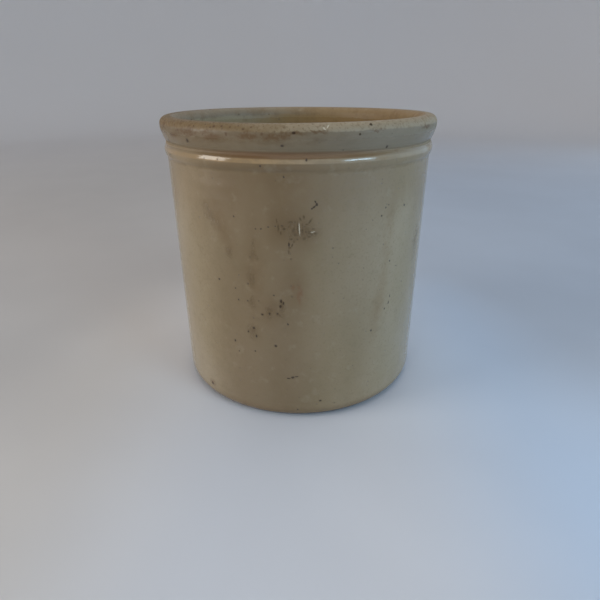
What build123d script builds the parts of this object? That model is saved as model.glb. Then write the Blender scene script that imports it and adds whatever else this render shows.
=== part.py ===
from build123d import *
import os

# An open, straight-sided stoneware fermenting crock with a rolled rim and a raised ring below it,
# and the two half-moon weight stones that lie on its floor and hold the food under the brine.
# Millimetres, +Z up. The origin is the middle of the crock's flat base.

# --- driving dimensions: crock, outside ---
crock_height = 201.0
base_radius = 95.1          # just above the rounded base corner
wall_radius = 94.7          # just under the raised ring
base_corner_radius = 9.5
rim_radius = 97.6           # the rolled rim at its widest
rim_top_radius = 5.0        # rounding from the rim's widest line over to its crest
groove_radius = 94.4        # the groove between the rim and the raised ring
groove_height = 184.9
ring_radius = 96.2          # the crest of the raised ring
ring_height = 180.4
ring_lower_half = 5.0       # from its crest down to the plain wall
groove_half_width = 0.7

# --- driving dimensions: crock, inside ---
mouth_radius = 84.0
mouth_land_bottom = 150.0   # the wall is truly round and straight from here up to the lip
lip_radius = 6.5            # rounding from the mouth up to the rim's crest
floor_thickness = 12.0
floor_radius = 83.2         # the inner wall, where the round inner corner starts
floor_corner_radius = 14.0

# --- driving dimensions: weight stones ---
weight_radius = 75.0
weight_thickness = 20.0
weight_gap = 6.0            # the slot between the two half moons
weight_floor_clearance = 0.3
weight_edge_radius = 6.0
weight_corner_radius = 9.0  # the two plan corners of each half moon
finger_hole_radius = 12.0
finger_hole_offset = 36.0   # from the crock's axis
finger_hole_edge_radius = 3.0

os.makedirs("parts", exist_ok=True)


def crock_outline():
    """Half section of the crock in the XZ plane: X is the radius, Z the height."""
    ring_bottom = ring_height - ring_lower_half
    groove_bottom = groove_height - groove_half_width
    groove_top = groove_height + groove_half_width
    shoulder_radius = groove_radius + 0.3
    rim_widest_height = crock_height - rim_top_radius
    crest_outer = rim_radius - rim_top_radius
    crest_inner = mouth_radius + lip_radius
    rim_flank = ((shoulder_radius + 3 * rim_radius) / 4, (groove_top + rim_widest_height) / 2)
    corner_centre_height = floor_thickness + floor_corner_radius
    with BuildSketch(Plane.XZ) as outline:
        with BuildLine():
            Line((0, 0), (base_radius - base_corner_radius, 0))
            RadiusArc(
                (base_radius - base_corner_radius, 0), (base_radius, base_corner_radius), -base_corner_radius
            )
            Line((base_radius, base_corner_radius), (wall_radius, ring_bottom))
            ThreePointArc(
                (wall_radius, ring_bottom), (ring_radius, ring_height), (shoulder_radius, groove_bottom)
            )
            ThreePointArc(
                (shoulder_radius, groove_bottom), (groove_radius, groove_height), (shoulder_radius, groove_top)
            )
            ThreePointArc((shoulder_radius, groove_top), rim_flank, (rim_radius, rim_widest_height))
            RadiusArc((rim_radius, rim_widest_height), (crest_outer, crock_height), -rim_top_radius)
            Line((crest_outer, crock_height), (crest_inner, crock_height))
            RadiusArc((crest_inner, crock_height), (mouth_radius, crock_height - lip_radius), -lip_radius)
            Line((mouth_radius, crock_height - lip_radius), (mouth_radius, mouth_land_bottom))
            Line((mouth_radius, mouth_land_bottom), (floor_radius, corner_centre_height))
            RadiusArc(
                (floor_radius, corner_centre_height),
                (floor_radius - floor_corner_radius, floor_thickness),
                floor_corner_radius,
            )
            Line((floor_radius - floor_corner_radius, floor_thickness), (0, floor_thickness))
            Line((0, floor_thickness), (0, 0))
        make_face()
    return outline.sketch


def make_crock():
    """The one-piece fired body: floor, wall, raised ring, groove and rolled rim."""
    return revolve(crock_outline(), Axis.Z)


def make_weight():
    """One half-moon stone on the +X side, with its finger hole, resting just above the floor."""
    with BuildPart() as weight:
        with BuildSketch():
            Circle(weight_radius)
            with Locations((-weight_radius + weight_gap / 2, 0)):
                Rectangle(2 * weight_radius, 2.2 * weight_radius, mode=Mode.SUBTRACT)
        extrude(amount=weight_thickness)
        upright_edges = weight.edges().filter_by(Axis.Z)
        fillet(upright_edges, weight_corner_radius)
        outer_edges = weight.faces().filter_by(Axis.Z).edges()
        fillet(outer_edges, weight_edge_radius)
        with BuildSketch():
            with Locations((finger_hole_offset, 0)):
                Circle(finger_hole_radius)
        extrude(amount=weight_thickness, mode=Mode.SUBTRACT)
        hole_edges = weight.edges().filter_by(GeomType.CIRCLE)
        hole_edges = hole_edges.filter_by(lambda edge: abs(edge.radius - finger_hole_radius) < 0.01)
        fillet(hole_edges, finger_hole_edge_radius)
    return Pos(0, 0, floor_thickness + weight_floor_clearance) * weight.part


crock = make_crock()
weight_right = make_weight()
weight_left = Rot(0, 0, 180) * weight_right

for node, solid in (("crock", crock), ("weight_right", weight_right), ("weight_left", weight_left)):
    export_step(solid, f"parts/{node}.step")
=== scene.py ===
import math

import bpy
import numpy as np
from mathutils import Matrix, Vector, noise


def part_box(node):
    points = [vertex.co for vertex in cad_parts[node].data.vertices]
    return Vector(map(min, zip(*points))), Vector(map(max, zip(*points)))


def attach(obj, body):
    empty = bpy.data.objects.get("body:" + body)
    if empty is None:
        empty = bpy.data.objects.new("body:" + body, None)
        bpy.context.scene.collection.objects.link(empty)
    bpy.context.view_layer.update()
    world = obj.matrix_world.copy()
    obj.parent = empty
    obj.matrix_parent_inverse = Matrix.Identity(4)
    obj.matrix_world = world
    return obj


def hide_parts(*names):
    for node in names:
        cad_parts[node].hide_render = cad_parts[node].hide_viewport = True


# A stoneware crock with a rolled rim and a raised ring, and the two half-moon weight stones on its floor.
# Shapes are worked out in millimetres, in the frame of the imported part, and scaled to metres at the end.

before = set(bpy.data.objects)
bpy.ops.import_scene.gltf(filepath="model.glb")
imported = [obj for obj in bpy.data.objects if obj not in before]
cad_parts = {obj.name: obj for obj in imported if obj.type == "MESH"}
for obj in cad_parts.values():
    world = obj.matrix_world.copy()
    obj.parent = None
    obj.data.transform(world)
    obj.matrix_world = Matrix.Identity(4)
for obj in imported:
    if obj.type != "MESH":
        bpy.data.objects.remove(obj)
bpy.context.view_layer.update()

MM = 0.001

# --- sizes read from the frame, in millimetres ---
crock_high = Vector(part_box("crock")[1]) / MM
stone_low, stone_high = (Vector(corner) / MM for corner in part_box("weight_right"))
CROCK_HEIGHT = crock_high.z
RIM_RADIUS = crock_high.x

# --- crock, outside ---
BASE_RADIUS = RIM_RADIUS - 2.5
WALL_RADIUS = RIM_RADIUS - 2.9
RING_RADIUS = RIM_RADIUS - 1.4
GROOVE_RADIUS = RIM_RADIUS - 3.2
BASE_CORNER = 9.5
RING_HEIGHT = CROCK_HEIGHT - 20.6
RING_LOWER_HALF = 5.0
GROOVE_HEIGHT = CROCK_HEIGHT - 16.1
GROOVE_HALF_WIDTH = 0.7
RIM_TOP_ROUNDING = 5.0

# --- crock, inside ---
MOUTH_RADIUS = RIM_RADIUS - 13.6
LIP_ROUNDING = 6.5
MOUTH_LAND_BOTTOM = 150.0
FLOOR_HEIGHT = 12.0
FLOOR_RADIUS = RIM_RADIUS - 14.4
FLOOR_CORNER = 14.0

# --- crock, where its finish changes ---
INNER_RINGS_TOP = 185.0     # the throwing rings inside stop below the mouth
UNGLAZED_BELOW = BASE_CORNER * 0.22

# --- weight stones ---
STONE_RADIUS = 75.0
STONE_EDGE = 6.0
STONE_CORNER = 9.0
HOLE_RADIUS = 12.0
HOLE_EDGE = 3.0
HOLE_OFFSET = 36.0

AROUND = 640            # points round the crock
STONE_AROUND = 288      # points round a weight stone
STONE_CORNER_POINTS = 22    # points on each of its plan corners, and on each half of its straight edge
STONE_FLAT_RINGS = 26   # steps between the finger hole and the edge, on the top and the bottom


# ---------------------------------------------------------------- outlines

def line(start, end, step):
    """Points from start up to, but not including, end."""
    start, end = np.array(start, float), np.array(end, float)
    count = max(1, round(float(np.linalg.norm(end - start)) / step))
    return [tuple(start + (end - start) * i / count) for i in range(count)]


def arc(centre, radius, start_deg, end_deg, step):
    """Points on a circle from start_deg up to, but not including, end_deg."""
    span = math.radians(end_deg - start_deg)
    count = max(2, round(abs(span) * radius / step))
    angles = (math.radians(start_deg) + span * i / count for i in range(count))
    return [(centre[0] + radius * math.cos(a), centre[1] + radius * math.sin(a)) for a in angles]


def arc_through(start, middle, end, step):
    """Points on the circle through three points, from start up to, but not including, end."""
    (ax, ay), (bx, by), (cx, cy) = start, middle, end
    d = 2 * (ax * (by - cy) + bx * (cy - ay) + cx * (ay - by))
    a2, b2, c2 = ax * ax + ay * ay, bx * bx + by * by, cx * cx + cy * cy
    ux = (a2 * (by - cy) + b2 * (cy - ay) + c2 * (ay - by)) / d
    uy = (a2 * (cx - bx) + b2 * (ax - cx) + c2 * (bx - ax)) / d
    angles = [math.degrees(math.atan2(y - uy, x - ux)) for x, y in (start, middle, end)]
    for i in (1, 2):
        while angles[i] - angles[i - 1] > 180:
            angles[i] -= 360
        while angles[i] - angles[i - 1] < -180:
            angles[i] += 360
    return arc((ux, uy), math.hypot(ax - ux, ay - uy), angles[0], angles[2], step)


def crock_profile():
    """(radius, height) points from the middle of the base, out, up, over the rim and down to the floor."""
    fine, finest, wall_step, corner_step, flat_step = 0.45, 0.3, 1.5, 1.0, 3.0
    ring_bottom = RING_HEIGHT - RING_LOWER_HALF
    groove_bottom = GROOVE_HEIGHT - GROOVE_HALF_WIDTH
    groove_top = GROOVE_HEIGHT + GROOVE_HALF_WIDTH
    shoulder = GROOVE_RADIUS + 0.3
    rim_widest = CROCK_HEIGHT - RIM_TOP_ROUNDING
    flank = ((shoulder + 3 * RIM_RADIUS) / 4, (groove_top + rim_widest) / 2)
    crest_out = RIM_RADIUS - RIM_TOP_ROUNDING
    crest_in = MOUTH_RADIUS + LIP_ROUNDING
    lip_bottom = CROCK_HEIGHT - LIP_ROUNDING
    corner_top = FLOOR_HEIGHT + FLOOR_CORNER
    inner_flat = FLOOR_RADIUS - FLOOR_CORNER
    points = line((0, 0), (BASE_RADIUS - BASE_CORNER, 0), flat_step)
    points += arc((BASE_RADIUS - BASE_CORNER, BASE_CORNER), BASE_CORNER, -90, 0, fine)
    points += line((BASE_RADIUS, BASE_CORNER), (WALL_RADIUS, ring_bottom), wall_step)
    below_groove, above_groove = (shoulder, groove_bottom), (shoulder, groove_top)
    points += arc_through((WALL_RADIUS, ring_bottom), (RING_RADIUS, RING_HEIGHT), below_groove, fine)
    points += arc_through(below_groove, (GROOVE_RADIUS, GROOVE_HEIGHT), above_groove, finest)
    points += arc_through(above_groove, flank, (RIM_RADIUS, rim_widest), fine)
    points += arc((crest_out, rim_widest), RIM_TOP_ROUNDING, 0, 90, fine)
    points += line((crest_out, CROCK_HEIGHT), (crest_in, CROCK_HEIGHT), fine)
    points += arc((crest_in, lip_bottom), LIP_ROUNDING, 90, 180, fine)
    points += line((MOUTH_RADIUS, lip_bottom), (MOUTH_RADIUS, MOUTH_LAND_BOTTOM), wall_step)
    points += line((MOUTH_RADIUS, MOUTH_LAND_BOTTOM), (FLOOR_RADIUS, corner_top), wall_step)
    points += arc((inner_flat, corner_top), FLOOR_CORNER, 0, -90, corner_step)
    points += line((inner_flat, FLOOR_HEIGHT), (0, FLOOR_HEIGHT), flat_step)
    return np.array(points[1:])


# ---------------------------------------------------------------- meshes

def loop_faces(rows, columns, closed_rows):
    """Quads between rings of points; closed_rows joins the last ring to the first."""
    faces = []
    for row in range(rows if closed_rows else rows - 1):
        here, above = row * columns, ((row + 1) % rows) * columns
        for column in range(columns):
            right = (column + 1) % columns
            faces.append((here + column, here + right, above + right, above + column))
    return faces


def new_object(name, points, faces):
    mesh = bpy.data.meshes.new(name)
    mesh.from_pydata([tuple(p) for p in points * MM], [], faces)
    mesh.polygons.foreach_set("use_smooth", [True] * len(mesh.polygons))
    mesh.update()
    piece = bpy.data.objects.new(name, mesh)
    bpy.context.scene.collection.objects.link(piece)
    return piece


# Chips on the rim: bearing in degrees to the right of the front, radius and height of the middle in
# millimetres, then how wide and how deep.
RIM_CHIPS = (
    (9, 96.0, 199.0, 2.0, 0.22),
    (-37, 97.2, 197.6, 2.2, 0.35),
    (-71, 96.4, 199.0, 3.0, 0.45),
    (28, 96.6, 198.6, 1.5, 0.25),
    (52, 95.8, 199.4, 2.4, 0.35),
    (118, 96.8, 198.2, 4.0, 0.70),
    (-149, 95.6, 199.6, 3.4, 0.55),
    (179, 86.4, 199.6, 2.8, 0.60),
    (-120, 86.0, 199.0, 2.2, 0.40),
    (64, 86.2, 199.2, 2.0, 0.35),
)


def place(bearing, radius, height):
    """A point from its bearing in degrees to the right of the front, radius and height."""
    a = math.radians(bearing)
    return np.array((radius * math.sin(a), -radius * math.cos(a), height))


def shaped_by_hand(points):
    """The small errors of a hand-turned pot. They only ever take material off the true outline."""
    x, y, z = points.T
    bearing = np.arctan2(x, -y)
    radius = np.hypot(x, y)
    up = z / CROCK_HEIGHT
    out_of_round = 0.14 * (1 + np.cos(2 * bearing + 0.3)) + 0.06 * (1 + np.cos(4 * bearing + 2.6))
    rings = 0.035 * (1 - np.cos(2 * math.pi * z / 8.3 + 0.7 * np.sin(z / 19))) * (radius > RIM_RADIUS - 9)
    inner_rings = -0.10 * (1 - np.cos(2 * math.pi * z / 13.0))
    inner_rings = inner_rings * (radius < MOUTH_RADIUS + 0.5) * (z < INNER_RINGS_TOP)
    floor_rings = 0.12 * (1 - np.cos(2 * math.pi * radius / 16.0)) * (z < FLOOR_HEIGHT + 0.01) * (z > 1)
    rings = rings * (z < RING_HEIGHT - RING_LOWER_HALF) * (z > BASE_CORNER)
    shrink = (0.25 + 0.75 * up) * out_of_round + rings + inner_rings * (z > FLOOR_HEIGHT + FLOOR_CORNER)
    scale = np.where(radius > 1, (radius - shrink) / np.maximum(radius, 1), 1)
    sag = 0.22 * (1 - np.cos(2 * bearing - 2.2)) * up ** 6
    return np.stack((x * scale, y * scale, z - sag - floor_rings), axis=1)


def chipped(points):
    """Shallow flakes knocked off the rim."""
    spine_height = CROCK_HEIGHT - 2 * RIM_TOP_ROUNDING
    for bearing, radius, height, size, depth in RIM_CHIPS:
        centre = place(bearing, radius, height)
        away = np.linalg.norm(points - centre, axis=1) / size
        bite = depth * np.clip(1.25 * (1 - away ** 2), 0, 1)
        spine = place(bearing, (RIM_RADIUS + MOUTH_RADIUS) / 2, spine_height)
        inward = spine - points
        inward /= np.linalg.norm(inward, axis=1)[:, None]
        points = points + inward * bite[:, None]
    return points


def make_crock():
    profile = crock_profile()
    rows = len(profile)
    bearing = 2 * math.pi * np.arange(AROUND) / AROUND
    radius, height = profile[:, :1], profile[:, 1:]
    x = radius * np.sin(bearing)
    y = -radius * np.cos(bearing)
    z = np.repeat(height, AROUND, axis=1)
    points = np.stack((x, y, z), axis=2).reshape(-1, 3)
    points = chipped(shaped_by_hand(points))
    faces = loop_faces(rows, AROUND, closed_rows=False)
    base_middle, floor_middle = len(points), len(points) + 1
    points = np.vstack((points, (0, 0, 0), (0, 0, FLOOR_HEIGHT)))
    last = (rows - 1) * AROUND
    for column in range(AROUND):
        right = (column + 1) % AROUND
        faces.append((base_middle, right, column))
        faces.append((floor_middle, last + column, last + right))
    return new_object("crock_body", points, faces)


def stone_outline(inset):
    """Plan outline of the right-hand half moon, moved in by inset, anticlockwise."""
    flat_x = stone_low.x + inset
    big = STONE_RADIUS - inset
    small = STONE_CORNER - inset
    corner_x = stone_low.x + STONE_CORNER
    corner_y = math.sqrt((STONE_RADIUS - STONE_CORNER) ** 2 - corner_x ** 2)
    tangent = math.degrees(math.atan2(corner_y, corner_x))
    corner_step = small * math.radians(180 - tangent) / STONE_CORNER_POINTS
    round_points = STONE_AROUND // 2 - 2 * STONE_CORNER_POINTS
    half = arc((0, 0), big, 0, tangent, big * math.radians(tangent) / round_points)
    half += arc((corner_x, corner_y), small, tangent, 180, corner_step)
    half += line((flat_x, corner_y), (flat_x, 0), corner_y / STONE_CORNER_POINTS)
    lower = [(px, -py) for px, py in reversed(half[1:])]
    return np.array(half + [(flat_x, 0.0)] + lower)


def make_stone(name, turn_deg, seed):
    """A half-moon stone: rings from its finger hole out along the bottom, up the side and back on top."""
    low, high = stone_low.z, stone_high.z
    outline = stone_outline(0)
    heading = np.arctan2(outline[:, 1], outline[:, 0] - HOLE_OFFSET)
    rings = []

    def hole_ring(radius, height):
        ring = np.stack((HOLE_OFFSET + radius * np.cos(heading), radius * np.sin(heading)), axis=1)
        rings.append(np.column_stack((ring, np.full(len(ring), height))))

    def outer_ring(inset, height):
        ring = stone_outline(inset)
        rings.append(np.column_stack((ring, np.full(len(ring), height))))

    def flat_rings(height, outwards):
        inner = HOLE_RADIUS + HOLE_EDGE
        ring = np.stack((HOLE_OFFSET + inner * np.cos(heading), inner * np.sin(heading)), axis=1)
        edge = stone_outline(STONE_EDGE)
        for i in range(1, STONE_FLAT_RINGS):
            share = i / STONE_FLAT_RINGS
            share = share if outwards else 1 - share
            flat = ring + (edge - ring) * share
            rings.append(np.column_stack((flat, np.full(len(flat), height))))

    turns = [math.radians(90 * i / 8) for i in range(9)]
    for a in turns:
        hole_ring(HOLE_RADIUS + HOLE_EDGE * (1 - math.cos(a)), low + HOLE_EDGE * (1 - math.sin(a)))
    flat_rings(low, True)
    for a in turns:
        outer_ring(STONE_EDGE * (1 - math.sin(a)), low + STONE_EDGE * (1 - math.cos(a)))
    for i in range(1, 8):
        outer_ring(0, low + STONE_EDGE + (high - low - 2 * STONE_EDGE) * i / 8)
    for a in reversed(turns):
        outer_ring(STONE_EDGE * (1 - math.sin(a)), high - STONE_EDGE * (1 - math.cos(a)))
    flat_rings(high, False)
    for a in reversed(turns):
        hole_ring(HOLE_RADIUS + HOLE_EDGE * (1 - math.cos(a)), high - HOLE_EDGE * (1 - math.sin(a)))
    for i in range(1, 12):
        hole_ring(HOLE_RADIUS, high - HOLE_EDGE - (high - low - 2 * HOLE_EDGE) * i / 12)
    points = np.vstack(rings)
    piece = new_object(name, points, loop_faces(len(rings), len(outline), closed_rows=True))
    roughen(piece, seed)
    piece.data.transform(Matrix.Rotation(math.radians(turn_deg), 4, "Z"))
    return piece


def roughen(piece, seed):
    """Hand-pressed clay: soft hollows and a grainy skin, always inwards."""
    mesh = piece.data
    offset = Vector((seed * 3.1, seed * 1.7, 0))
    moved = []
    for vertex in mesh.vertices:
        at = vertex.co / MM + offset
        hollow = 0.28 * (0.5 + 0.5 * noise.noise(at / 21))
        grain = 0.10 * max(0.0, noise.noise(at / 1.9))
        pock = 0.45 * max(0.0, noise.noise(at / 4.3 + Vector((7, 3, 1))) - 0.52)
        moved.append(vertex.co - vertex.normal * (hollow + grain + pock) * MM)
    for vertex, co in zip(mesh.vertices, moved):
        vertex.co = co
    mesh.update()


# ---------------------------------------------------------------- shader building

def colour(red, green, blue):
    """A linear colour from the 0 to 255 values of a colour picker."""
    def linear(value):
        value /= 255
        return value / 12.92 if value <= 0.04045 else ((value + 0.055) / 1.055) ** 2.4
    return (linear(red), linear(green), linear(blue), 1.0)


class Shader:
    """Small helpers that add nodes to one material and return their output sockets."""

    def __init__(self, name):
        self.material = bpy.data.materials.new(name)
        self.material.use_nodes = True
        self.tree = self.material.node_tree
        self.surface = self.tree.nodes["Principled BSDF"]
        coordinates = self.tree.nodes.new("ShaderNodeTexCoord")
        scaled = self.tree.nodes.new("ShaderNodeVectorMath")
        scaled.operation = "SCALE"
        scaled.inputs["Scale"].default_value = 1 / MM
        self.tree.links.new(coordinates.outputs["Object"], scaled.inputs[0])
        self.mm = scaled.outputs[0]
        apart = self.tree.nodes.new("ShaderNodeSeparateXYZ")
        self.tree.links.new(self.mm, apart.inputs[0])
        self.x, self.y, self.z = apart.outputs
        self.radius = self.vector("LENGTH", self.combine(self.x, self.y, 0.0))
        turn = self.math("ARCTAN2", self.x, self.math("MULTIPLY", self.y, -1.0))
        self.bearing = self.math("MULTIPLY", turn, math.degrees(1.0))
        self.front = self.fade(self.math("ABSOLUTE", self.bearing), 165, 105)

    def feed(self, socket, value):
        if isinstance(value, bpy.types.NodeSocket):
            self.tree.links.new(value, socket)
        else:
            socket.default_value = value

    def math(self, operation, *values):
        node = self.tree.nodes.new("ShaderNodeMath")
        node.operation = operation
        for socket, value in zip(node.inputs, values):
            self.feed(socket, value)
        return node.outputs[0]

    def vector(self, operation, *values):
        node = self.tree.nodes.new("ShaderNodeVectorMath")
        node.operation = operation
        for socket, value in zip(node.inputs, values):
            self.feed(socket, value)
        return node.outputs["Value" if operation == "LENGTH" else "Vector"]

    def combine(self, x, y, z):
        node = self.tree.nodes.new("ShaderNodeCombineXYZ")
        for socket, value in zip(node.inputs, (x, y, z)):
            self.feed(socket, value)
        return node.outputs[0]

    def fade(self, value, start, end, low=0.0, high=1.0):
        """low below start, high above end, with a smooth step between; end may be under start."""
        node = self.tree.nodes.new("ShaderNodeMapRange")
        node.interpolation_type = "SMOOTHSTEP"
        for name, number in (("From Min", start), ("From Max", end), ("To Min", low), ("To Max", high)):
            self.feed(node.inputs[name], number)
        self.feed(node.inputs["Value"], value)
        return node.outputs[0]

    def band(self, value, middle, half, soft):
        """1 within half of middle, falling to 0 over soft."""
        away = self.math("ABSOLUTE", self.math("SUBTRACT", value, middle))
        return self.fade(away, half + soft, half)

    def noise(self, place, size, detail=3.0, roughness=0.55, stretch=(1, 1, 1), colour_out=False,
              shift=0.0):
        """Noise of the given feature size in millimetres."""
        mapping = self.tree.nodes.new("ShaderNodeMapping")
        mapping.inputs["Scale"].default_value = tuple(1 / (size * s) for s in stretch)
        mapping.inputs["Location"].default_value = (shift, shift * 0.7, shift * 1.3)
        self.feed(mapping.inputs["Vector"], place)
        node = self.tree.nodes.new("ShaderNodeTexNoise")
        node.inputs["Scale"].default_value = 1.0
        node.inputs["Detail"].default_value = detail
        node.inputs["Roughness"].default_value = roughness
        self.tree.links.new(mapping.outputs[0], node.inputs["Vector"])
        return node.outputs["Color" if colour_out else "Fac"]

    def specks(self, place, cell, largest, rarity, shift=0.0):
        """Round specks, at most one per cell of the given size; a higher rarity makes most of them tiny."""
        moved = self.vector("ADD", place, (shift, shift * 1.7, shift * 0.3))
        node = self.tree.nodes.new("ShaderNodeTexVoronoi")
        node.inputs["Scale"].default_value = 1 / cell
        node.inputs["Randomness"].default_value = 0.9
        self.feed(node.inputs["Vector"], moved)
        apart = self.tree.nodes.new("ShaderNodeSeparateColor")
        self.tree.links.new(node.outputs["Color"], apart.inputs[0])
        size = self.math("MULTIPLY", self.math("POWER", apart.outputs[0], rarity), largest / cell)
        edge = self.math("MULTIPLY", size, 0.55)
        return self.fade(node.outputs["Distance"], size, edge)

    def mix(self, factor, first, second, blend="MIX"):
        node = self.tree.nodes.new("ShaderNodeMix")
        node.data_type = "RGBA"
        node.blend_type = blend
        self.feed(node.inputs["Factor"], factor)
        self.feed(node.inputs["A"], first)
        self.feed(node.inputs["B"], second)
        return node.outputs["Result"]

    def warped(self, amount, size, detail=2.0):
        """The place in millimetres, pushed about by noise."""
        push = self.vector("SUBTRACT", self.noise(self.mm, size, detail, colour_out=True), (0.5, 0.5, 0.5))
        return self.vector("ADD", self.mm, self.vector("MULTIPLY", push, (amount, amount, amount)))

    def unrolled(self, place):
        """(distance round the wall, height, 0) in millimetres, 0 at the front and growing to the right."""
        apart = self.tree.nodes.new("ShaderNodeSeparateXYZ")
        self.feed(apart.inputs[0], place)
        x, y, z = apart.outputs
        bearing = self.math("ARCTAN2", x, self.math("MULTIPLY", y, -1.0))
        return self.combine(self.math("MULTIPLY", bearing, WALL_RADIUS), z, 0.0)

    def turned(self, flat, degrees):
        """The unrolled place, turned so that marks leaning by that many degrees stand upright."""
        node = self.tree.nodes.new("ShaderNodeVectorRotate")
        node.rotation_type = "Z_AXIS"
        node.inputs["Angle"].default_value = -math.radians(degrees)
        self.feed(node.inputs["Vector"], flat)
        return node.outputs[0]

    def marks(self, flat, marks, soft=0.35):
        """How strongly a place is inside any of the marks. A mark is its bearing, height, half width and
        half height, and its lean in degrees where it has one."""
        nearest = None
        for lean in sorted({sum(mark[4:]) for mark in marks}):
            upright = self.turned(flat, lean) if lean else flat
            across, up = math.cos(math.radians(lean)), math.sin(math.radians(lean))
            leaning = (mark[:4] for mark in marks if sum(mark[4:]) == lean)
            for bearing, height, half_width, half_height in leaning:
                x = math.radians(bearing) * WALL_RADIUS
                centre_x, centre_y = across * x + up * height, across * height - up * x
                shift = (-centre_x / half_width, -centre_y / half_height, 0)
                scale = (1 / half_width, 1 / half_height, 0)
                away = self.vector("LENGTH", self.vector("MULTIPLY_ADD", upright, scale, shift))
                nearest = away if nearest is None else self.math("MINIMUM", nearest, away)
        return self.fade(nearest, 1 + soft, 1 - soft)

    def finish(self, base, roughness, height):
        """height is in millimetres of relief."""
        bump = self.tree.nodes.new("ShaderNodeBump")
        bump.inputs["Strength"].default_value = 1.0
        bump.inputs["Distance"].default_value = MM
        self.feed(bump.inputs["Height"], height)
        self.feed(self.surface.inputs["Base Color"], base)
        self.feed(self.surface.inputs["Roughness"], roughness)
        self.tree.links.new(bump.outputs[0], self.surface.inputs["Normal"])
        return self.material


# Iron spots on the front of the wall and rim: bearing in degrees to the right of the front, height, half
# width and half height in millimetres, and for a few a lean in degrees. The lists below have the same form.
IRON_SPOTS = (
    (5.8, 158.4, 0.5, 0.9, 25), (6.3, 156.8, 0.8, 1.0), (5.4, 155.4, 1.3, 0.5, 40), (4.6, 154.5, 0.6, 0.6),
    (34.6, 150.7, 0.6, 0.6), (36, 152.1, 0.5, 0.5), (45.6, 149.4, 0.8, 0.8), (32.7, 146, 0.6, 0.6),
    (-16, 141.6, 0.6, 0.5), (-13.9, 141.9, 0.5, 0.5), (-11.2, 143.2, 0.6, 0.5), (-8.6, 143.9, 0.5, 0.4),
    (-6.1, 144.2, 0.6, 0.5), (-3.7, 132.7, 0.5, 1.6), (-33.9, 103.9, 0.9, 0.8), (-26, 100.3, 0.6, 0.6),
    (-24.9, 92.3, 0.6, 0.7), (-20.8, 92.7, 0.6, 0.6), (-9.9, 98.7, 0.6, 0.6), (-7.1, 94.7, 0.8, 1.3),
    (-6.2, 93.4, 0.6, 1.2), (-7.4, 91.0, 0.8, 1.1), (-14.8, 84.1, 0.9, 0.7), (-11.8, 85.2, 0.7, 0.8),
    (-8.6, 85.7, 0.7, 0.6), (-18.8, 73.1, 0.9, 0.9), (-21.3, 69.6, 0.7, 0.9), (-17.8, 67.1, 0.6, 1.2),
    (-4.6, 78.2, 0.7, 0.8), (-28, 60, 0.8, 1.0), (-26.3, 52.2, 0.5, 0.6), (-18.7, 55.1, 0.7, 0.7),
    (41.1, 87.6, 0.4, 1.3), (40.5, 83, 0.5, 1.4), (38.3, 79.2, 0.6, 0.7), (31.4, 65.6, 0.8, 0.8),
    (39.1, 114.1, 0.6, 0.6), (43.6, 108.9, 0.5, 0.5), (56.9, 53.4, 0.6, 0.6), (49, 94.6, 0.6, 0.5),
    (-4.7, 35.6, 1.3, 0.5), (-3.0, 36.4, 1.2, 0.9), (-1.4, 37.2, 1.3, 0.5), (8.7, 15.7, 1.0, 0.8),
    (-44.9, 12.4, 1.0, 1.2), (-62.7, 49.1, 0.6, 0.6), (-1, 8.8, 0.6, 0.8), (-24.6, 147.9, 0.6, 0.6),
    (-5.1, 172.6, 0.6, 0.6), (20.3, 194.7, 0.7, 0.7), (32.4, 186.9, 0.9, 0.8), (-5.3, 189.5, 0.8, 0.7),
    (-1.5, 196.2, 1.0, 0.7), (-43.2, 189.8, 1.1, 1.2), (-60.1, 187.5, 1.0, 0.9), (2.6, 182.0, 0.6, 0.8),
    (-13, 178.4, 0.7, 0.6), (24.7, 199.4, 0.9, 0.6),
)
# Short strokes of dirt in a worn patch of the glaze.
WORN_STROKES = (
    (1.8, 149.4, 0.6, 1.2), (0.5, 148.3, 0.5, 1.2, 25), (-3.1, 146.6, 1.5, 0.5), (-1.4, 146.6, 0.5, 0.7),
    (4.1, 147.2, 0.6, 2.0, -35), (-0.5, 143.6, 0.45, 3.0), (1.2, 145.2, 0.5, 0.9), (1.3, 141.4, 0.4, 2.2),
    (-2.0, 141.8, 0.8, 1.4, -25), (-1.2, 138.8, 0.9, 0.9), (-2.8, 136.2, 0.8, 0.6), (-1.9, 134.5, 0.6, 0.8),
    (-2.5, 132.3, 0.5, 1.2, -15), (-3.4, 130.6, 0.9, 0.6, 30), (-3.8, 128.2, 0.55, 1.4),
    (2.5, 140.5, 0.7, 0.6), (3.8, 140.0, 0.9, 0.9), (4.6, 138.8, 0.7, 0.7), (6.0, 139.5, 1.1, 0.8),
    (1.8, 136.4, 0.9, 0.8, 20),
    (3.7, 137.5, 0.9, 0.6), (5.2, 142.2, 1.0, 0.5), (2.8, 145.2, 1.0, 0.5), (-7.5, 143.0, 0.5, 2.4),
    (-6.6, 139.6, 0.5, 1.0), (-5.4, 142.4, 0.8, 0.8), (-8.0, 147.0, 0.5, 1.4),
)
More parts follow.
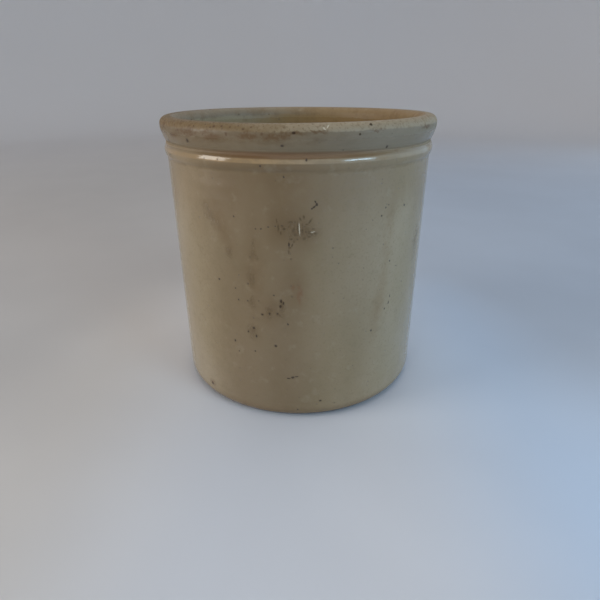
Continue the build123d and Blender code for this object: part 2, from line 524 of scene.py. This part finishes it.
# Soft brown stains rubbed into the wall's glaze.
STAINS = (
    (-17.4, 124.5, 2.0, 3.4), (-17.2, 131, 0.9, 4.0), (-18.8, 109, 2.2, 6.0), (-18.6, 93, 1.8, 4.0),
    (-1.0, 141, 7.5, 4.6), (3.2, 140, 5.5, 4.0), (-11.5, 88, 2.4, 4.5, -30), (-8.6, 84.5, 3.2, 1.4),
    (-7, 91, 1.6, 4.5), (-19.3, 70, 3.0, 4.0), (-27.8, 125, 1.6, 3.4), (-44, 13, 3.2, 2.6),
    (-36, 147, 3.0, 8.0, 40), (60, 120, 4.0, 10.0), (108, 92, 5.0, 12.0, 8), (146, 58, 6.0, 6.0),
    (172, 138, 7.0, 5.0, -20), (-158, 84, 2.2, 16.0, 4), (-124, 124, 4.0, 12.0, -10), (-98, 46, 4.0, 7.0),
)
# Broad smudges, so faint that they only show as a change of tone: partly faint stains, partly a painted
# reflection of the dark room, which is the two tall streaks about 35 degrees to the right.
SMUDGES_AND_REFLECTIONS = (
    (37, 128, 4.0, 24.0, -4), (34.5, 86, 4.5, 22.0, -8), (-17.5, 108, 6.0, 30.0), (-2, 104, 7.0, 14.0),
    (-12, 88, 8.0, 10.0), (-2, 141, 14.0, 11.0), (-30, 140, 5.0, 14.0, 25),
)
# Rust-coloured rubs.
RUBS = ((0.1, 100, 1.4, 6.0), (-44.5, 13, 2.2, 2.0), (-2.5, 104, 0.8, 2.0))
# Dark brown patches where the glaze has gone from the rim. The broad low ones on the front face, between 192
# and 196 mm, are partly painted shade under the rim's bulge.
RIM_PATCHES_AND_SHADE = (
    (-40.5, 196.2, 2.0, 2.6), (-46, 199.4, 1.8, 1.2), (-16.4, 194.2, 6.0, 2.0), (-7.5, 194.0, 7.5, 2.0),
    (-2, 195.6, 7.0, 1.1), (-33, 196, 4.0, 1.0), (-30, 193, 6.0, 1.6), (6, 196.2, 5.0, 0.6),
    (-62, 197, 3.0, 1.6), (-75, 193, 5.0, 1.5), (-42, 194.6, 9.0, 1.6),
    (-52, 192.5, 5.0, 1.2), (27, 197.0, 4.5, 0.8), (54, 196, 6.0, 1.2),
    (115, 195, 9.0, 2.2), (152, 193, 12.0, 2.0), (-128, 194, 10.0, 2.4), (-165, 196, 8.0, 1.6),
)
# Pale scratches and flakes where the body shows.
SCRATCHES = (
    (0.2, 142.0, 0.32, 3.8, 3), (5.0, 140.4, 1.2, 0.35, 12), (8.3, 198.2, 1.0, 0.4, -35),
    (9.6, 199.2, 0.35, 1.1, -45),
)


def glaze_wall(s, flat, soft_flat, cloud, mottle, fleck):
    """Grey-buff glaze, browner towards the top and across the front, with rubbed-in stains; the front is also
    painted darker as shade, faint smudges are partly a painted reflection, and the foot holds painted shade.
    """
    tone = s.math("ADD", s.z, s.math("MULTIPLY", s.math("SUBTRACT", cloud, 0.5), 60))
    wall = s.mix(s.fade(cloud, 0.36, 0.66), colour(162, 147, 121), colour(155, 140, 112))
    wall = s.mix(s.fade(tone, 128, 168, 0.0, 0.6), wall, colour(138, 118, 88))
    uneven = s.math("MULTIPLY", mottle, 6)
    # Browner and darker across the front: partly the glaze's own brown, partly painted shade where little
    # light reaches the front.
    from_front_brown_and_shade = s.math("ABSOLUTE", s.math("ADD", s.math("ADD", s.bearing, 14), uneven))
    wall = s.mix(s.fade(from_front_brown_and_shade, 34, 6), wall, (0.65, 0.59, 0.52, 1), "MULTIPLY")
    from_right_brown_and_shade = s.math("ABSOLUTE", s.math("SUBTRACT", s.bearing, 12))
    wall = s.mix(s.fade(from_right_brown_and_shade, 34, 8), wall, (0.86, 0.81, 0.75, 1), "MULTIPLY")
    wall = s.mix(s.fade(mottle, 0.50, 0.78, 0.0, 0.28), wall, colour(130, 116, 88))
    wall = s.mix(s.fade(mottle, 0.44, 0.26, 0.0, 0.16), wall, colour(170, 160, 136))
    wall = s.mix(s.fade(fleck, 0.50, 0.76, 0.0, 0.30), wall, colour(120, 104, 76))
    hatch = s.noise(s.warped(1.0, 3.0), 2.6, 3, 0.6, stretch=(1, 1, 1.6), shift=12)
    # Faint smudges, partly stains and partly a painted reflection of the dark room.
    smudge_and_reflection = s.math("MULTIPLY", s.marks(soft_flat, SMUDGES_AND_REFLECTIONS, soft=0.95), s.fade(mottle, 0.3, 0.7, 0.5, 1.0))
    wall = s.mix(smudge_and_reflection, wall, (0.86, 0.80, 0.72, 1), "MULTIPLY")
    stain = s.math("MULTIPLY", s.marks(soft_flat, STAINS, soft=0.95), s.fade(hatch, 0.36, 0.66, 0.22, 0.65))
    wall = s.mix(stain, wall, colour(92, 72, 42))
    strokes = s.math("MULTIPLY", s.marks(flat, WORN_STROKES, soft=0.6), s.fade(hatch, 0.30, 0.60, 0.35, 0.75))
    wall = s.mix(strokes, wall, colour(76, 60, 34))
    rub = s.math("MULTIPLY", s.marks(soft_flat, RUBS, soft=0.95), s.fade(hatch, 0.36, 0.60, 0.1, 0.45))
    wall = s.mix(rub, wall, colour(120, 76, 50))
    # Browner and darker towards the foot: partly the foot's own brown, partly painted shade on the rounding
    # that faces the floor.
    foot_brown_and_shade = s.math("ADD", s.z, s.math("MULTIPLY", mottle, 5.0))
    wall = s.mix(s.fade(foot_brown_and_shade, 15, 5, 0.0, 0.8), wall, colour(116, 92, 60))
    # Painted contact shadow: the lowest few millimetres of the glaze turn nearly black where the foot meets
    # the floor.
    wall = s.mix(s.fade(s.z, 5.2, 3.6, 0.0, 0.95), wall, colour(46, 34, 20))
    return wall, stain


def glaze_rim(s, soft_flat, mottle, fleck):
    """Rubbed rim: a worn crest and a face painted darker in front as shade, both with bare brown patches."""
    patch = s.noise(s.mm, 11, 4, 0.65, stretch=(1, 1, 0.5), shift=9)
    height = s.math("ADD", s.z, s.math("MULTIPLY", s.math("SUBTRACT", mottle, 0.5), 1.6))
    brown_side = s.fade(s.math("ADD", s.bearing, s.math("MULTIPLY", patch, 40)), 34, -8)
    brown_side = s.math("MULTIPLY", brown_side, s.front)
    grey_side = s.math("MULTIPLY", s.fade(s.bearing, 2, 34), s.front)
    face = s.mix(s.fade(patch, 0.36, 0.68), colour(142, 124, 98), colour(128, 108, 80))
    face = s.mix(s.fade(height, 191.5, 188.5, 0.0, 0.6), face, colour(146, 130, 104))
    face = s.mix(grey_side, face, colour(150, 135, 112))
    crest = s.mix(brown_side, colour(154, 138, 112), colour(120, 98, 64))
    crest = s.mix(s.fade(fleck, 0.50, 0.66, 0.0, 0.5), crest, colour(108, 84, 52))
    # Painted shade: the rim's face, which looks down under its bulge, is darkened round the front and sides.
    face = s.mix(s.front, face, (0.74, 0.74, 0.72, 1), "MULTIPLY")
    rim = s.mix(s.fade(height, CROCK_HEIGHT - 4.8, CROCK_HEIGHT - 4.0), face, crest)
    freckles = s.specks(s.warped(1.2, 1.6), 2.5, 1.0, 0.9, shift=17)
    freckles = s.math("MULTIPLY", freckles, s.fade(height, 192.5, 195.5))
    freckles = s.math("MULTIPLY", freckles, s.math("MULTIPLY", brown_side, 0.9))
    rim = s.mix(freckles, rim, colour(82, 56, 28))
    broken = s.fade(fleck, 0.34, 0.58, 0.35, 0.85)
    # Bare brown patches, with painted shade under the rim's bulge on the front face.
    bare = s.math("MULTIPLY", s.marks(soft_flat, RIM_PATCHES_AND_SHADE, soft=0.6), broken)
    return s.mix(bare, rim, colour(98, 70, 36)), brown_side, patch


def glaze_ring(s, outer, brown_side, patch):
    """The groove holds brown, partly as painted shade; the raised ring is rubbed pale along its crest, partly
    as a painted highlight; painted shade lines the hollow under the ring.
    """
    middle = s.fade(s.math("ABSOLUTE", s.math("ADD", s.bearing, 3)), 42, 12, 0.15, 1.0)
    around = s.math("MAXIMUM", middle, s.fade(patch, 0.52, 0.66, 0.0, 0.7))
    # Brown in the groove: partly glaze pooled there, partly painted shade in the hollow.
    groove = s.band(s.z, GROOVE_HEIGHT - 0.8, 1.1, 1.4)
    groove = s.math("MULTIPLY", groove, s.math("MULTIPLY", around, 0.62))
    outer = s.mix(groove, outer, colour(118, 84, 54))
    # Pale crest of the ring, golden on the left: partly glaze rubbed thin, partly a painted highlight of the
    # warm light.
    crest = s.mix(brown_side, colour(178, 160, 134), colour(184, 152, 108))
    near_middle = s.fade(s.math("ABSOLUTE", s.math("ADD", s.bearing, 6)), 46, 20, 0.35, 0.7)
    bare = s.math("MULTIPLY", s.band(s.z, RING_HEIGHT + 0.6, 0.8, 0.9), s.fade(patch, 0.34, 0.60, 1.0, 0.6))
    bare = s.math("MULTIPLY", bare, near_middle)
    outer = s.mix(bare, outer, crest)
    # Painted shade in the hollow under the ring.
    under = s.band(s.z, RING_HEIGHT - RING_LOWER_HALF - 0.6, 0.4, 1.2)
    under = s.math("MULTIPLY", under, s.fade(patch, 0.40, 0.62, 0.05, 0.4))
    return s.mix(under, outer, colour(116, 98, 68))


def glaze_inside(s, cloud, mottle):
    """Ochre brown inside and a golden-brown lip, both painted greyer on the left as a reflection."""
    # Painted reflection: inside and on the lip the glaze turns greyer towards the left.
    side = s.math("ADD", s.x, s.math("MULTIPLY", s.math("SUBTRACT", cloud, 0.5), 60))
    inner = s.mix(s.fade(side, -62, 0), colour(156, 142, 114), colour(148, 122, 84))
    inner = s.mix(s.fade(mottle, 0.45, 0.75, 0.0, 0.45), inner, colour(116, 94, 62))
    lip = s.mix(s.fade(side, -40, 30), colour(136, 122, 100), colour(142, 118, 82))
    lip = s.mix(s.fade(mottle, 0.42, 0.72, 0.0, 0.5), lip, colour(120, 94, 60))
    return inner, lip


def glazed_stoneware():
    """Grey-buff glaze outside, a browner worn rim, and an ochre-brown inside."""
    s = Shader("glazed_stoneware")
    fine_warp = s.warped(0.9, 1.3)
    flat = s.unrolled(fine_warp)
    soft_flat = s.unrolled(s.warped(6.0, 5.0, 3.0))
    cloud = s.noise(s.mm, 46, 3, stretch=(1, 1, 1.7))
    mottle = s.noise(s.mm, 9, 5, 0.6)
    fleck = s.noise(s.mm, 1.6, 3, 0.6, shift=3)

    wall, stain = glaze_wall(s, flat, soft_flat, cloud, mottle, fleck)
    rim, brown_side, patch = glaze_rim(s, soft_flat, mottle, fleck)
    outer = s.mix(s.fade(s.z, GROOVE_HEIGHT - 0.8, GROOVE_HEIGHT + 1.2), wall, rim)
    outer = glaze_ring(s, outer, brown_side, patch)
    inner, lip = glaze_inside(s, cloud, mottle)
    wobble = s.math("MULTIPLY", s.math("SUBTRACT", mottle, 0.5), 4.0)
    lip_radius, lip_height = MOUTH_RADIUS + LIP_ROUNDING, CROCK_HEIGHT - LIP_ROUNDING
    over_lip = s.fade(s.math("ADD", s.radius, wobble), lip_radius, lip_radius - 2)
    below_lip = s.fade(s.math("ADD", s.z, wobble), lip_height + 1.5, lip_height - 0.5)
    inside = s.math("MULTIPLY", s.fade(s.radius, MOUTH_RADIUS + 1.6, MOUTH_RADIUS + 0.5), below_lip)
    base = s.mix(s.math("MULTIPLY", over_lip, s.fade(s.z, 150, 180)), outer, lip)
    base = s.mix(inside, base, inner)

    tiny = s.specks(s.mm, 4.2, 0.75, 1.7)
    big = s.specks(fine_warp, 17, 1.5, 3.5, shift=31)
    not_in_front = s.math("SUBTRACT", 1.0, s.fade(s.y, -5, -30))
    behind = s.math("MULTIPLY", s.specks(fine_warp, 12, 1.5, 1.9, shift=57), not_in_front)
    big = s.math("MAXIMUM", big, behind)
    spots = s.marks(flat, IRON_SPOTS)
    iron = s.math("MAXIMUM", s.math("MULTIPLY", tiny, 0.55), s.math("MAXIMUM", big, spots))
    base = s.mix(s.math("MULTIPLY", iron, 0.9), base, colour(54, 36, 16))
    pale = s.marks(flat, SCRATCHES)
    base = s.mix(s.math("MULTIPLY", pale, 0.75), base, colour(206, 196, 174))

    worn = s.fade(s.z, CROCK_HEIGHT - 10, CROCK_HEIGHT - 6)
    rough = s.fade(mottle, 0.3, 0.7, 0.10, 0.20)
    rough = s.math("ADD", rough, s.math("MULTIPLY", worn, s.fade(fleck, 0.35, 0.6, 0.30, 0.50)))
    rough = s.math("ADD", rough, s.math("MULTIPLY", s.math("MAXIMUM", iron, stain), 0.45))
    rough = s.math("ADD", rough, s.math("MULTIPLY", s.band(s.z, GROOVE_HEIGHT + 0.4, 1.0, 0.8), 0.5))
    swell = s.math("MULTIPLY", s.noise(s.mm, 7, 2, 0.5, shift=2), 0.10)
    peel = s.math("MULTIPLY", s.noise(s.mm, 1.4, 2, 0.5, shift=4), 0.012)
    height = s.math("ADD", swell, peel)
    height = s.math("SUBTRACT", height, s.math("MULTIPLY", s.math("MAXIMUM", tiny, big), 0.10))
    return s.finish(base, rough, height)


def bare_base():
    """The unglazed underside: coarse buff clay, turned in rings and darkened by use, with painted contact
    shade towards its outer edge.
    """
    s = Shader("bare_base")
    grit = s.noise(s.mm, 1.2, 4, 0.7)
    cloud = s.noise(s.mm, 34, 4, 0.6)
    wobble = s.math("ADD", s.radius, s.math("MULTIPLY", cloud, 4.0))
    rings = s.math("SINE", s.math("MULTIPLY", wobble, 2.1))
    base = s.mix(s.fade(cloud, 0.35, 0.68), colour(176, 156, 124), colour(136, 112, 82))
    base = s.mix(s.fade(grit, 0.5, 0.75, 0.0, 0.5), base, colour(104, 82, 56))
    base = s.mix(s.fade(rings, 0.2, 1.0, 0.0, 0.22), base, colour(112, 90, 64))
    # Painted contact shade: dark towards the outer edge of the underside, where it meets the floor.
    outer_ring = s.fade(s.radius, BASE_RADIUS - 12, BASE_RADIUS - 6, 0.0, 0.85)
    base = s.mix(outer_ring, base, colour(62, 48, 32))
    base = s.mix(s.math("MULTIPLY", s.specks(s.mm, 5.0, 0.9, 2.5), 0.85), base, colour(52, 38, 26))
    rough = s.fade(grit, 0.3, 0.7, 0.62, 0.88)
    height = s.math("ADD", s.math("MULTIPLY", grit, 0.16), s.math("MULTIPLY", rings, 0.05))
    return s.finish(base, rough, height)


def bare_stoneware():
    """Unglazed buff stone of the weights, with iron specks and brine stains, and darker towards the bottom.
    """
    s = Shader("bare_stoneware")
    cloud = s.noise(s.mm, 28, 4, 0.55)
    grit = s.noise(s.mm, 0.9, 4, 0.7)
    mottle = s.noise(s.mm, 5, 4, 0.6, shift=6)
    base = s.mix(s.fade(cloud, 0.34, 0.68), colour(196, 178, 146), colour(170, 148, 114))
    base = s.mix(s.fade(mottle, 0.48, 0.76, 0.0, 0.55), base, colour(146, 122, 88))
    base = s.mix(s.fade(grit, 0.52, 0.78, 0.0, 0.5), base, colour(124, 100, 70))
    # Darker towards the bottom.
    base = s.mix(s.fade(s.z, 24, 13, 0.0, 0.5), base, colour(118, 92, 58))
    base = s.mix(s.math("MULTIPLY", s.specks(s.mm, 4.2, 0.85, 2.4), 0.85), base, colour(58, 40, 26))
    rough = s.fade(grit, 0.3, 0.7, 0.55, 0.82)
    height = s.math("ADD", s.math("MULTIPLY", grit, 0.10), s.math("MULTIPLY", mottle, 0.12))
    return s.finish(base, rough, height)


def pale_floor():
    """Pale matt floor: painted warmer on the left and bluer on the right as the colour of the lamps, painted
    darker beside and behind the crock as its shadow, and paler again far away."""
    s = Shader("pale_floor")
    cloud = s.noise(s.mm, 160, 2)
    base = s.mix(s.fade(cloud, 0.3, 0.7), (0.69, 0.71, 0.76, 1), (0.73, 0.75, 0.80, 1))
    # Painted light: warm light on the left of the floor and cool light on the right.
    base = s.mix(s.fade(s.x, -40, -180), base, (0.90, 0.84, 0.76, 1), "MULTIPLY")
    base = s.mix(s.fade(s.x, 40, 180), base, (0.80, 0.94, 1.10, 1), "MULTIPLY")
    # Painted shadow of the crock beside and behind it.
    beside = s.math("MULTIPLY", s.fade(s.radius, 100, 270, 0.0, 0.48), s.fade(s.y, -180, 0))
    base = s.mix(beside, base, (0.36, 0.35, 0.35, 1))
    base = s.mix(s.fade(s.radius, 600, 2400, 0.0, 0.9), base, (0.92, 0.90, 0.90, 1))
    s.surface.inputs["Specular IOR Level"].default_value = 0.2
    return s.finish(base, 0.8, s.math("MULTIPLY", s.noise(s.mm, 2.0, 2), 0.01))


# ---------------------------------------------------------------- the pieces

crock = make_crock()
crock.data.materials.append(glazed_stoneware())
crock.data.materials.append(bare_base())
for polygon in crock.data.polygons:
    if polygon.center.z < UNGLAZED_BELOW * MM:
        polygon.material_index = 1
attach(crock, "crock")
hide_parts("crock")

stone_clay = bare_stoneware()
for side, turn_deg, seed in (("right", 0, 1), ("left", 180, 2)):
    stone = make_stone(f"weight_stone_{side}", turn_deg, seed)
    stone.data.materials.append(stone_clay)
    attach(stone, f"weight_{side}")
    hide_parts(f"weight_{side}")


# ---------------------------------------------------------------- floor, light and camera

def make_floor():
    """A pale floor that sweeps up into a round wall far away on every side."""
    around, flat_radius, sweep, wall_top = 96, 1900.0, 700.0, 1700.0
    profile = line((0.5, 0), (flat_radius, 0), 240)
    profile += arc((flat_radius, sweep), sweep, -90, 0, 60)
    profile += line((flat_radius + sweep, sweep), (flat_radius + sweep, wall_top), 200)
    points = []
    for radius, height in profile:
        for i in range(around):
            a = 2 * math.pi * i / around
            points.append((radius * math.cos(a), radius * math.sin(a), height))
    piece = new_object("floor", np.array(points), loop_faces(len(profile), around, closed_rows=False))
    piece.data.materials.append(pale_floor())


def soft_light(name, bearing, elevation, distance, size, power, tint):
    """A rectangular soft box that faces the crock."""
    light = bpy.data.lights.new(name, "AREA")
    light.shape = "RECTANGLE"
    light.size, light.size_y = size
    light.energy = power
    light.color = tint
    lamp = bpy.data.objects.new(name, light)
    a, e = math.radians(bearing), math.radians(elevation)
    way = Vector((math.sin(a) * math.cos(e), -math.cos(a) * math.cos(e), math.sin(e)))
    target = Vector((0, 0, CROCK_HEIGHT * MM / 2))
    lamp.location = target + way * distance
    lamp.rotation_euler = way.to_track_quat("Z", "Y").to_euler()
    bpy.context.scene.collection.objects.link(lamp)


def room_world():
    """Soft light all round, dimmer in front where whoever looks at the crock stands."""
    world = bpy.data.worlds.new("room")
    world.use_nodes = True
    tree = world.node_tree
    coordinates = tree.nodes.new("ShaderNodeTexCoord")
    apart = tree.nodes.new("ShaderNodeSeparateXYZ")
    strength = tree.nodes.new("ShaderNodeMapRange")
    for name, number in (("From Min", -1.0), ("From Max", 0.2), ("To Min", 0.085), ("To Max", 0.33)):
        strength.inputs[name].default_value = number
    background = tree.nodes["Background"]
    background.inputs["Color"].default_value = (0.82, 0.82, 0.86, 1)
    tree.links.new(coordinates.outputs["Generated"], apart.inputs[0])
    tree.links.new(apart.outputs[1], strength.inputs["Value"])
    tree.links.new(strength.outputs[0], background.inputs["Strength"])
    bpy.context.scene.world = world


def light_the_room():
    room_world()
    soft_light("window_left", -72, 15, 1.6, (0.70, 0.68), 10.8, (1.0, 0.96, 0.90))
    soft_light("window_right", 48, 15, 1.6, (0.64, 0.34), 8.3, (0.53, 0.79, 1.0))
    soft_light("fill_right", 104, 16, 1.6, (1.7, 1.1), 3.5, (0.42, 0.70, 1.0))
    soft_light("overhead_back", 180, 66, 1.6, (1.7, 1.3), 5.4, (1.0, 0.97, 0.93))
    soft_light("overhead_front", 8, 64, 1.6, (1.5, 1.1), 3.8, (1.0, 0.98, 0.96))


def make_camera():
    """The photograph's viewing angle: in front of the crock, a little above its rim, looking down."""
    distance, height = 0.3533, 0.2204
    pitch_down, roll, yaw, lens = math.radians(25.7), -0.0058, -0.0014, 27.1
    data = bpy.data.cameras.new("camera")
    data.lens = lens
    data.sensor_width = 36
    data.clip_start = 0.01
    camera = bpy.data.objects.new("camera", data)
    turn = Matrix.Rotation(yaw, 4, "Z") @ Matrix.Rotation(math.pi / 2 - pitch_down, 4, "X")
    camera.matrix_world = Matrix.Translation((0, -distance, height)) @ turn @ Matrix.Rotation(roll, 4, "Z")
    bpy.context.scene.collection.objects.link(camera)
    bpy.context.scene.camera = camera


make_floor()
light_the_room()
make_camera()
bpy.context.scene.view_settings.view_transform = "Standard"
